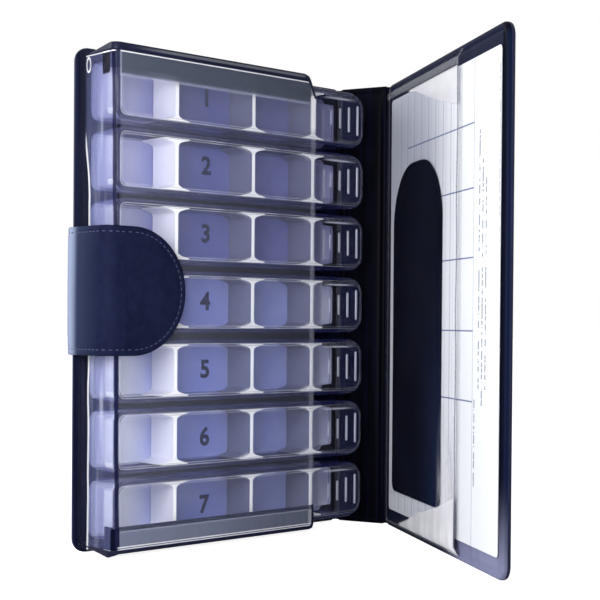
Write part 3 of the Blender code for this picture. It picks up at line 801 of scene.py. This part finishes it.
trayLook = {
    # the upper trays are painted darker and the lower ones paler: shaded and lit copies of one violet plastic
    "upper": {"pale": (0.50, 0.51, 0.77), "violet": (0.118, 0.130, 0.42), "end": 0.34, "glare": 0.10},
    "lower": {"pale": (0.88, 0.91, 1.00), "violet": (0.255, 0.300, 0.76), "end": 0.40, "glare": 0.36},
    "wall": (0.070, 0.076, 0.26), "end": (0.34, 0.36, 0.66), "glare": (0.84, 0.87, 1.00),
    "rim": (0.010, 0.014, 0.075), "clearRim": (0.30, 0.32, 0.52),
}


def trayFinish(kind):
    # the floor is paler towards the left, painted light, and deepens to violet towards the spine, painted shade; the
    # left end wall is painted lighter as lit from the left and the sloping end dark as painted shade; the rim has its
    # own dark colour and the two glares are painted highlights
    look = trayLook[kind]
    finish = clearFinish(kind + "Tray", look["violet"], 0.16)
    x, y, z = finish.axes()
    across, cloud, top = abs(y), finish.noise(16, 2), box["depth"]
    right, end, side = x.step(122.0, 126.0), x.fall(1.4, 2.4), across.step(10.5, 11.1)
    foot = x.step(119.0, 121.0) * across.fall(8.0, 9.0) * 3.4
    floor = (z - foot).fall(1.3, 2.2) * x.fall(126.4, 127.4)
    # painted highlights on the left end wall: a broad glare and a bright spot low down
    glare = end * z.band(11.2, 17.2, 0.7) * y.band(-10.0, 9.0, 0.8) * (look["glare"] + cloud * 0.5)
    spot = end * z.band(12.2, 17.2, 0.5) * y.band(-10.0, -7.6, 0.4)
    rim = z.step(top - 1.6, top - 1.1)
    # painted light and shade: pale where light falls at the left, violet towards the spine
    violet = x.step(16, 36) * 0.80 + cloud * 0.35 - x.step(60, 72) * 0.10 - x.step(102, 108) * 0.36
    finish.paint(look["pale"], (look["violet"], violet), (trayLook["wall"], side), (trayLook["end"], end),
                 (trayLook["rim"], right * (1 - floor)), (trayLook["glare"], glare.most(spot)),
                 (finish.mix(trayLook["rim"], trayLook["clearRim"], right), rim))
    finish.put("Alpha", (floor * 0.86).most(side * (0.50 - 0.30 * right), end * look["end"], glare, spot * 0.45,
                                            rim * (0.82 - 0.55 * right), 0.02))
    finish.put("Roughness", cloud * 0.12 + 0.12)
    finish.bump(finish.noise(14, 1), 0.15)
    return finish


lidLook = {
    "clear": (0.75, 0.78, 0.95), "border": (0.012, 0.014, 0.085), "end": (0.030, 0.036, 0.110),
    "outline": (0.86, 0.88, 0.97),
}


def lidFinish():
    # nearly clear, with a dark border and round corners, a darker grip end, hazy bars and a painted highlight near the
    # grip end
    finish = clearFinish("lidClear", lidLook["clear"], 0.12)
    x, y, z = finish.axes()
    across, cloud = abs(y), finish.noise(18, 2)
    border = across.step(10.35, 10.6).most(x.fall(1.5, 1.75))
    cornerX, cornerY = (6.6 - x).most(0.0), (across - 5.7).most(0.0)
    corner = (cornerX * cornerX + cornerY * cornerY).step(20.0, 24.0) * x.step(-1, 0)
    # a painted highlight along the upper side near the grip end
    shine = y.band(8.3, 9.0, 0.25) * x.band(110.0, 125.0, 3.0)
    rib = z.step(box["depth"] + 0.05, box["depth"] + 0.2)
    end = x.step(116.5, 118.5) * (1 - rib) * (1 - shine)
    finish.paint(lidLook["clear"], (lidLook["border"], border.most(corner)), (lidLook["end"], end))
    haze = (border * (0.30 - 0.24 * x.step(100, 112))).most(corner * 0.55, end * 0.24)
    finish.put("Alpha", 0.006 + haze + rib * (0.22 + 0.34 * x.step(107, 126)) + shine * cloud * 0.7)
    finish.put("Roughness", cloud * 0.12 + 0.06)
    return finish


def lidEdgeFinish():
    # the lid's polished outline, where light gathers
    finish = clearFinish("lidOutline", lidLook["outline"], 0.1)
    x, y, z = finish.axes()
    finish.put("Alpha", finish.noise(7, 2) * (0.9 - 0.55 * x.step(98, 106)) + 0.03)
    finish.put("Roughness", finish.noise(5, 2) * 0.1 + 0.05)
    return finish


dividerLook = {
    # the colours of the web and of its bright edges, and how opaque the web is; the first divider, nearest the lamp, is
    # painted lighter than the others, lit and shaded copies of one plastic
    "first": ((0.82, 0.83, 0.97), (0.97, 0.98, 1.0), 0.86),
    "others": ((0.17, 0.18, 0.30), (0.93, 0.95, 1.0), 0.60),
}


def dividerFinish(kind):
    face, edge, cover = dividerLook[kind]
    finish = clearFinish(kind + "Divider", face, 0.35)
    x, y, z = finish.axes()
    high, span = divider["high"], divider["span"]
    # the bright front edge and arms are painted highlights
    arms = abs(y).step(span - 3.0, span - 1.0) * z.step(high - 4.0, high - 1.0)
    bright = z.step(high - 0.5, high - 0.1).most(arms * (finish.noise(1.6, 3) * 1.6 - 0.2).least(1.0))
    finish.paint(face, (edge, bright))
    finish.put("Alpha", bright * (0.96 - cover) + cover - 0.05 + finish.noise(6, 2) * 0.1)
    finish.bump(finish.noise(5, 2), 0.1)
    return finish


labels = {
    "size": 9.8, "x": 43.0, "thickness": 0.06, "weight": 0.032,
    "ink": (0.002, 0.003, 0.020), "paleInk": (0.008, 0.010, 0.045),
}
labelFinish = Finish("printedInk", labels["ink"], 0.5, {"Specular IOR Level": 0.1})
labelFinish.paint(labels["ink"], (labels["paleInk"], labelFinish.noise(2.0, 3)))


def numberMesh(text):
    # a plain numeral, printed on the lid
    curve = bpy.data.curves.new("numeral", "FONT")
    curve.body = text
    curve.size = labels["size"] * metres
    curve.offset = labels["weight"] * curve.size
    curve.extrude = labels["thickness"] * metres / 2
    curve.align_x, curve.align_y = "CENTER", "CENTER"
    shown = addObject("numeral", curve, rowFrame)
    bpy.context.view_layer.update()
    mesh = bpy.data.meshes.new_from_object(shown.evaluated_get(bpy.context.evaluated_depsgraph_get()))
    mesh.name = "numeral" + text
    mesh.materials.clear()
    bpy.data.objects.remove(shown)
    return mesh


def moved(place, x, y, z):
    return place @ Matrix.Translation(Vector((x, y, z)) * metres)


def makeBoxes():
    # boxes are numbered from the top, and so are the days
    tray, cover, partition = trayMesh(), lidMesh(), dividerMesh()
    trays = {kind: (tray.copy(), trayFinish(kind)) for kind in ("upper", "lower")}
    for finish in (lidFinish(), lidEdgeFinish()):
        cover.materials.append(finish.material)
    partitions = {kind: (partition.copy(), dividerFinish(kind)) for kind in dividerLook}
    depth = box["depth"] - lid["recess"] + labels["thickness"] / 2
    for number in range(1, box["count"] + 1):
        height = box["lowest"] + box["pitch"] * (box["count"] - number)
        place = moved(panelFrame["base"], box["left"], height, box["back"])
        boxBody, lidBody = "box_%d" % number, "lid_%d" % number
        mesh, finish = trays["upper" if number <= box["upper"] else "lower"]
        makePiece("dayTray%d" % number, mesh, place, finish, boxBody, (boxBody + "_tray",))
        makePiece("dayLid%d" % number, cover, place, None, lidBody, (boxBody + "_lid",))
        for k, share in enumerate(divider["shares"], 1):
            mesh, finish = partitions["first" if k == 1 else "others"]
            makePiece("divider%d_%d" % (number, k), mesh, moved(place, box["length"] * share, 0, 0), finish,
                      boxBody, ("%s_divider_%d" % (boxBody, k),))
        makePiece("dayNumber%d" % number, numberMesh(str(number)), moved(place, labels["x"], 0, depth),
                  labelFinish, lidBody)


makeBoxes()
print("day boxes made")

film = {
    "left": 3.0, "right": 106.2, "low": 1.6, "high": 193.8, "depth": 20.6, "thickness": 0.3, "fold": 2.8,
    "foot": 0.9, "footFold": 0.7, "footHeight": 0.55, "cutLength": 4.4, "cutHeight": 8.4, "lowCut": 1.6,
    "wallWave": 0.16, "frontWave": 0.12, "rows": 72, "columns": 40,
}


def filmPath():
    # plan of the sleeve's outer side: foot, left wall, round fold and front, with its normals
    left, turn, bend = pick(film, "left footFold fold")
    x, z, deep = left - turn, film["footHeight"] + turn, film["depth"] - bend
    reach, columns = film["right"] - left - bend, film["columns"]
    path = [((film["foot"], film["footHeight"]), (0, 1)), ((x, film["footHeight"]), (0, 1))]
    path += [((x + turn * c, z + turn * s), (-c, -s)) for c, s in arc(-90, 0, 4)[1:-1]]
    path += [((left, z + (deep - z) * i / 8), (-1, 0)) for i in range(9)]
    path += [((left + bend + bend * c, deep + bend * s), (c, s)) for c, s in arc(180, 90, 8)[1:]]
    path += [((left + bend + reach * i / columns, film["depth"]), (0, 1)) for i in range(1, columns + 1)]
    return path


def makeSleeve():
    # the film's rows from the low end up, shortened where its corners are cut, with soft waves
    left, right, low, high, deep = pick(film, "left right low high depth")
    start = left + film["fold"]
    rows = []
    for r in range(film["rows"] + 1):
        share = r / film["rows"]
        y = low + (high - low) * share
        cut = max(film["cutLength"] * max(0, 1 - (high - y) / film["cutHeight"]),
                  film["lowCut"] * max(0, 1 - (y - low) / film["lowCut"]))
        wall = film["wallWave"] * math.sin(math.pi * share) * math.sin(y * 0.23 + 0.8 * math.sin(y * 0.11))
        front = film["frontWave"] * math.sin(math.pi * share)
        row = []
        for (x, z), (nx, nz) in filmPath():
            if x > start:
                x = start + (x - start) * (right - cut - start) / (right - start)
            push = 0.0
            if x <= left + 0.01 and z > 2:
                push = wall * math.sin(math.pi * z / deep)
            if z > deep - 0.01:
                push = -front * (0.5 + 0.5 * math.sin(y * 0.19 + x * 0.05))
            row.append(((x + nx * push, y, z + nz * push), (nx, 0, nz)))
        rows.append(row)
    makePiece("sleeveFilm", [sheet(rows, film["thickness"])], panelFrame["base"], sleeveFinish(),
              "base", ("sleeve_film",), 50)


filmLook = {
    "clear": (0.66, 0.71, 0.93), "dark": (0.002, 0.003, 0.014), "crease": (0.012, 0.013, 0.050),
    "topStrip": (0.085, 0.100, 0.140), "lowStrip": (0.21, 0.23, 0.33), "white": (0.95, 0.96, 1.0),
    "wallTint": (0.20, 0.22, 0.45), "haze": 0.010, "leftLitHaze": 0.014, "topLitHaze": 0.016, "cloud": 0.018,
    "wall": 0.10, "line": 0.5,
}


def sleeveFinish():
    # clear film with haze, painted highlights where its folds catch the light, pressed lines and dark corners
    look = filmLook
    finish = clearFinish("sleeveFilm", look["clear"], 0.16, {"Specular IOR Level": 0.03})
    x, y, z = finish.axes()
    soft, streaks = finish.noise(30, 3), finish.noise(4.0, 3, (1, 0.06, 1))
    gleam = streaks.step(0.5, 0.75)
    wall, front = x.fall(3.5, 4.3) * z.step(1.2, 1.6), x.step(5.2, 6.4)
    fromCrease = z - (3.3 - 3.2 * y.step(136, 168) + soft * 1.6)
    crease, shown = fromCrease.band(-0.45, 0.35, 0.15) * wall, fromCrease.step(-0.2, 0.2) * wall
    # the haze of the front, thicker towards the left and the top as a painted reflection of the light there, of the
    # strips over its two ends and of the left wall, whose pale streaks are painted reflections
    haze = soft * look["cloud"] + look["haze"] + x.fall(8, 80) * look["leftLitHaze"] + y.step(158, 182) * look["topLitHaze"]
    topStrip, lowStrip = y.step(181.2, 183.4) * front, y.fall(9.6, 10.6) * front
    haze = (haze * front).most(topStrip * (0.62 + soft * 0.2), lowStrip * (0.60 + soft * 0.2))
    haze = haze + shown * (look["wall"] + gleam * 0.12)
    # bright: a painted highlight on the wall's crease, pressed lines along both ends, a loop at the top of the wall and
    # the painted glint of the free edge
    pressed = y.band(4.05, 4.35, 0.1).most(y.band(3.3, 3.5, 0.1)) * front * (0.6 + soft * 0.6)
    lines = (y.band(190.9, 191.25, 0.12) * front.most(shown)).most(pressed) * x.band(0, 104.6, 0.3)
    ringX, ringY = (z - 3.0) * (1 / 1.3), (y - 187.6) * (1 / 2.8)
    loop = (ringX * ringX + ringY * ringY).band(0.72, 1.15, 0.12) * wall
    glint = x.band(103.4, 106.0, 0.5) * (y.step(168, 173) * y.fall(184, 186) * 0.75 + 0.08)
    bright = (crease * 0.5).most(lines * look["line"], loop * 0.65, glint)
    # dark: a streak at the top of the wall, a patch at the foot of the fold and the fold itself
    darkStreak = z.step(12.2, 12.8) * z.fall(16.6, 17.4) * y.band(184.8 - soft * 3, 191.6, 0.6)
    patch = z.step(18.8, 19.4) * x.fall(5.2, 6.2) * y.fall(10.8 - soft * 2, 12.0)
    turn = x + z - 26.4 + y * 0.0175 + soft
    bend = turn.band(-0.8, 1.0, 0.4) * x.fall(8, 9) * z.step(14, 15) * (0.55 + streaks * 0.7)
    dark = (darkStreak * 0.95).most(patch * 0.92, bend * 0.85)
    lowColour = finish.mix(look["lowStrip"], look["topStrip"], x.step(20, 90) * 0.4 + streaks * 0.3)
    darkColour = finish.mix(look["dark"], look["crease"], bend)
    finish.paint(look["clear"], (look["wallTint"], shown * (1 - gleam)), (look["topStrip"], topStrip),
                 (lowColour, lowStrip), (darkColour, (dark * 5).least(1.0)), (look["white"], (bright * 4).least(1.0)))
    hidden = 1 - y.band(1.9, 191.5, 0.3)
    finish.put("Alpha", haze.most(bright, dark) * (1 - hidden * 0.9) + 0.006)
    finish.put("Roughness", soft * 0.2 + 0.10)
    finish.bump(finish.noise(26, 3) + finish.noise(7, 2) * 0.12, 0.9)
    return finish


bindings = {
    # the rolled vinyl along the sleeve's ends: which way it faces, its middle, its height on the front and on
    # the left wall, where the front's stations are, and its tapering end as (x, y, height, thickness)
    "Top": (1, 192.95, 2.9, 2.9, (30, 60, 90, 99.5), ((101.4, 192.6, 2.3, 0.9), (102.4, 191.6, 1.5, 0.9),
                                                      (103.4, 189.8, 1.25, 0.9), (105.9, 184.6, 1.0, 0.72))),
    "Low": (-1, 2.45, 1.4, 2.7, (30, 60, 90, 103.6), ((105.2, 2.8, 1.5, 0.9), (105.7, 4.0, 1.2, 0.9),
                                                      (105.8, 6.0, 1.2, 0.9), (105.8, 12.2, 1.0, 0.63))),
}
binding = {
    "thickness": 0.9, "wallStart": 3.0, "startHeight": 0.35, "startThickness": 0.5, "over": 0.1, "steps": 7,
    "sheen": (0.13, 0.14, 0.165),
}
bindingVinyl = {
    **vinyl, "colour": (0.0040, 0.0055, 0.020), "light": (0.0075, 0.0095, 0.032), "roughness": 0.34,
    "grain": 0.6, "depth": 0.01, "gloss": 0.12,
}


def railForm(stations):
    # a rounded strip swept along points of the panel, each with its outward direction, height and thickness
    rings = []
    path = alongPath([station[0] for station in stations])
    for (point, along), (spot, out, height, thick) in zip(path, stations):
        out = Vector(out)
        upward = out.cross(along).normalized()
        ring = roundedOutline(-height / 2, height / 2, -thick / 2, thick / 2, min(height, thick) * 0.4, 0, 4)
        rings.append([tuple(point + upward * a + out * b) for a, b in ring])
    return loft(rings)


def bindingStations(side, middle, height, wallHeight, run, end):
    # from the back of the left wall round the corner and along the front
    thick, start, steps, over = pick(binding, "thickness wallStart steps over")
    startHeight, startThick = pick(binding, "startHeight startThickness")
    left, bend, front = pick(film, "left fold depth")
    deep, front = front - bend, front - over
    stations = []
    for t in [i / (steps - 1) for i in range(steps)]:
        tall = startHeight + (wallHeight - startHeight) * t
        spot = (left + over, middle - side * (height - tall) / 2, start + (deep - start) * t)
        stations.append((spot, (-1, 0, 0), tall, startThick + (thick - startThick) * t))
    for i, (c, s) in enumerate(arc(180, 90, steps)[1:], 1):
        tall = wallHeight + (height - wallHeight) * i / steps
        reach = bend - over
        spot = (left + bend + reach * c, middle - side * (height - tall) / 2, deep + reach * s)
        stations.append((spot, (c, 0, s), tall, thick))
    for x, y, tall, thin in [(x, middle, height, thick) for x in run] + list(end):
        stations.append(((x, y, front), (0, 0, 1), tall, thin))
    return stations


def makeBindings():
    finish = vinylFinish("bindingVinyl", bindingVinyl)
    x, y, z = finish.axes()
    sheen = y.band(192.7, 193.7, 0.25) * x.step(8, 30) * x.fall(98, 101)
    finish.paint(finish.colour, (binding["sheen"], sheen * 0.85))
    for end, rail in bindings.items():
        form = railForm(bindingStations(*rail))
        makePiece("sleeveBinding" + end, [form], panelFrame["base"], finish, "base", angle=50)


makeSleeve()
makeBindings()
print("sleeve made")

pocket = {
    "left": 2.8, "right": 96.8, "low": 2.0, "high": 193.0, "roof": 2.5, "flat": 0.6, "thickness": 0.35,
    "weld": 3.2, "ripple": 0.10, "rows": 60, "columns": 30,
}
pocketLook = {"clear": (0.86, 0.88, 0.94), "shine": (0.97, 0.96, 1.0), "edge": (0.10, 0.11, 0.16)}


def makePocket():
    # welded along three sides, raised over the card and the pouch, with a ripple near the free edge
    left, right, low, high, weld, flat, roof = pick(pocket, "left right low high weld flat roof")
    rows = []
    for r in range(pocket["rows"] + 1):
        y = low + (high - low) * r / pocket["rows"]
        fromEnd = min(y - low, high - y)
        row = []
        for c in range(pocket["columns"] + 1):
            x = left + (right - left) * c / pocket["columns"]
            rise = min(1.0, fromEnd / weld, (x - left) / weld)
            rise = rise * rise * (3 - 2 * rise)
            ripple = pocket["ripple"] * math.sin(y * 0.14 + 0.7) * (x / right) ** 2 * min(1.0, fromEnd / 12)
            row.append(((x, y, flat + (roof - flat) * rise + ripple * rise), (0, 0, 1)))
        rows.append(row)
    makePiece("pocketFilm", [sheet(rows, pocket["thickness"])], panelFrame["cover"], pocketFinish(),
              "cover", ("pocket_film",), 50)


def pocketFinish():
    # clear film with two large reflections, a pressed hem and a dark free edge
    finish = clearFinish("pocketFilm", pocketLook["clear"], 0.12)
    x, y, z = finish.axes()
    soft, streaks = finish.noise(34, 3), finish.noise(5.0, 3, (1, 0.15, 1))
    upper = (y - 187.6 + (x - 34.9) * 0.256 + (soft - 0.5) * 5).step(-0.5, 0.5) * x.step(33, 38)
    upper = upper * y.fall(186.4, 187.2)
    lower = ((x - 20.9) * 0.286 + 2.6 - y + (soft - 0.5) * 6).step(-0.6, 0.6) * x.step(18, 26) * y.step(2.8, 3.4)
    tall = x.step(74, 84) * y.fall(20, 62) * streaks.step(0.35, 0.65) * 0.5
    hem = y.fall(2.9, 3.5).most(y.step(187.2, 187.8) * y.fall(190.2, 190.8))
    edge = x.step(96.0, 96.2)
    glint = x.band(95.1, 95.8, 0.15) * (0.06 + 0.6 * y.fall(10, 90))
    light = (upper * (0.30 + soft * 0.3)).most(lower * (0.40 + streaks * 0.75), tall, glint)
    veil = soft * 0.007 + 0.001 + hem * 0.085 + x.fall(4.2, 5.0) * 0.10
    finish.paint(pocketLook["clear"], (pocketLook["shine"], (light * 4).least(1.0)), (pocketLook["edge"], edge))
    finish.put("Alpha", veil.most(light, edge * 0.55))
    finish.put("Roughness", soft * 0.16 + 0.08)
    finish.bump(finish.noise(40, 3), 1.2)
    return finish


card = {"left": 7.1, "right": 136.4, "low": 8.0, "high": 187.0, "back": 0.3, "front": 0.65, "corner": 1.5, "soft": 0.05}
cardPrint = {
    # ruled lines: the first and their pitch; blue rows: their ends and heights; dotted lines: place, ends and width
    "first": 21.3, "pitch": 9.05, "left": 30.4, "right": 110.2, "rows": (163.4, 139.5, 114.0, 87.0, 61.0),
    "dots": ((112.2, 30, 62, 0.5), (116.2, 66, 160, 0.55), (119.6, 60, 152, 0.55), (123.0, 66, 142, 0.55),
             (135.6, 118, 182, 0.3)),
    "paper": (0.72, 0.745, 0.785), "light": (0.81, 0.825, 0.85), "shade": (0.47, 0.49, 0.57),
    "ink": (0.16, 0.17, 0.24), "blue": (0.06, 0.09, 0.24),
}


def makeCard():
    back, front, soft = pick(card, "back front soft")
    edges = pick(card, "left right low high corner")
    outline = lambda inset: roundedOutline(*edges, inset, 5)
    rings = stack(outline, ((soft, back), (0, back + soft), (0, front - soft), (soft, front)))
    makePiece("recordCard", [loft(rings)], panelFrame["cover"], cardFinish(), "card", ("record_card",))


def cardFinish():
    look = cardPrint
    finish = Finish("cardPaper", look["paper"], 0.62, {"Specular IOR Level": 0.2})
    x, y, z = finish.axes()
    fibre, pitch = finish.noise(0.8, 3), look["pitch"]
    across = (x - look["first"] + pitch / 2).repeat(pitch)
    ruled = (across.band(pitch / 2 - 0.32, pitch / 2 + 0.32, 0.2) * 0.62
             + across.band(pitch * 0.84, pitch * 0.84 + 0.4, 0.2) * 0.34)
    ruled = ruled * (x.band(14.0, 99.0, 0.1) * y.band(9.5, 185.5, 0.1))
    rows = [y.band(height - 0.28, height + 0.28, 0.08) for height in look["rows"]]
    rows = rows[0].most(*rows[1:]) * x.band(look["left"], look["right"], 0.1)
    border = x.band(110.0, 110.5, 0.15) * 0.55
    dots = [x.band(place - width, place + width, 0.25) * y.band(low, high, 0.1)
            for place, low, high, width in look["dots"]]
    marks = finish.noise(1.5, 1, (0.3, 1, 1)).step(0.42, 0.52)
    inked = ruled.most(border, dots[0].most(*dots[1:]) * marks * 0.85)
    shade = x.fall(50, 99) * (0.35 + 0.65 * y.step(90, 165))
    finish.paint(look["paper"], (look["light"], fibre), (look["shade"], shade), (look["ink"], inked),
                 (look["blue"], rows * 0.85))
    finish.bump(fibre, 0.03)
    return finish


pouch = {
    "left": 14.4, "right": 76.4, "low": 17.0, "high": 156.5, "back": 0.95, "face": 1.80, "corner": 4.0,
    "round": 26.0, "lit": (0.006, 0.012, 0.044),
    # (inset, height above the face) from the edge to the middle of the pouch
    "rim": ((0.0, -0.4), (0.12, -0.15), (0.5, -0.03), (1.2, 0.0), (1.6, -0.14), (2.0, -0.16), (2.6, 0.0), (4.5, 0.03)),
}
pouchVinyl = {
    **vinyl, "colour": (0.0006, 0.0012, 0.0060), "light": (0.0018, 0.0030, 0.0135), "roughness": 0.5,
    "grain": 0.6, "depth": 0.006, "gloss": 0.0,
}


def makePouch():
    radii = (pouch["corner"], pouch["corner"], pouch["round"], pouch["round"])
    edges = pick(pouch, "left right low high")
    outline = lambda inset: roundedOutline(*edges, radii, inset, 12)
    rings = stack(outline, reversed(pouch["rim"]), pouch["face"])
    rings += stack(outline, ((0.0, 0.2), (0.3, 0.0)), pouch["back"])
    finish = vinylFinish("pouchVinyl", pouchVinyl)
    x, y, z = finish.axes()
    finish.paint(finish.colour, (pouch["lit"], x.step(45, 78) * y.fall(25, 120) * 0.8))
    makePiece("carryPouch", [loft(rings)], panelFrame["cover"], finish, "pouch", ("carry_pouch",))


makePocket()
makeCard()
makePouch()
print("pocket made")

hidden = {"board": (0.30, 0.26, 0.20), "boardLight": (0.42, 0.37, 0.30), "metal": (0.55, 0.56, 0.60)}
gussetVinyl = {
    **vinyl, "colour": (0.008, 0.011, 0.036), "light": (0.013, 0.017, 0.050), "roughness": 0.5, "grain": 0.6,
    "depth": 0.01, "gloss": 0.06,
}


def dress(finish, *nodes):
    # a finish for solids of the frame that stay as they are
    for node in nodes:
        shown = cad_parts[node]
        for place in shown.material_slots:
            place.material = finish.material
        if not shown.material_slots:
            shown.data.materials.append(finish.material)


def dressFrame():
    board = Finish("boardPaper", hidden["board"], 0.9)
    board.paint(hidden["board"], (hidden["boardLight"], board.noise(1.6, 4)))
    board.bump(board.noise(0.6, 3), 0.05)
    dress(board, "base_board", "spine_board", "cover_board")
    metal = Finish("snapMetal", hidden["metal"], 0.3, {"Metallic": 1.0})
    metal.put("Roughness", metal.noise(1.2, 3) * 0.25 + 0.2)
    metal.bump(metal.noise(0.5, 2), 0.01)
    dress(metal, "snap_stud", "snap_socket")
    dress(vinylFinish("gussetVinyl", gussetVinyl), "gusset_top", "gusset_bottom")


dressFrame()
print("finishes made")
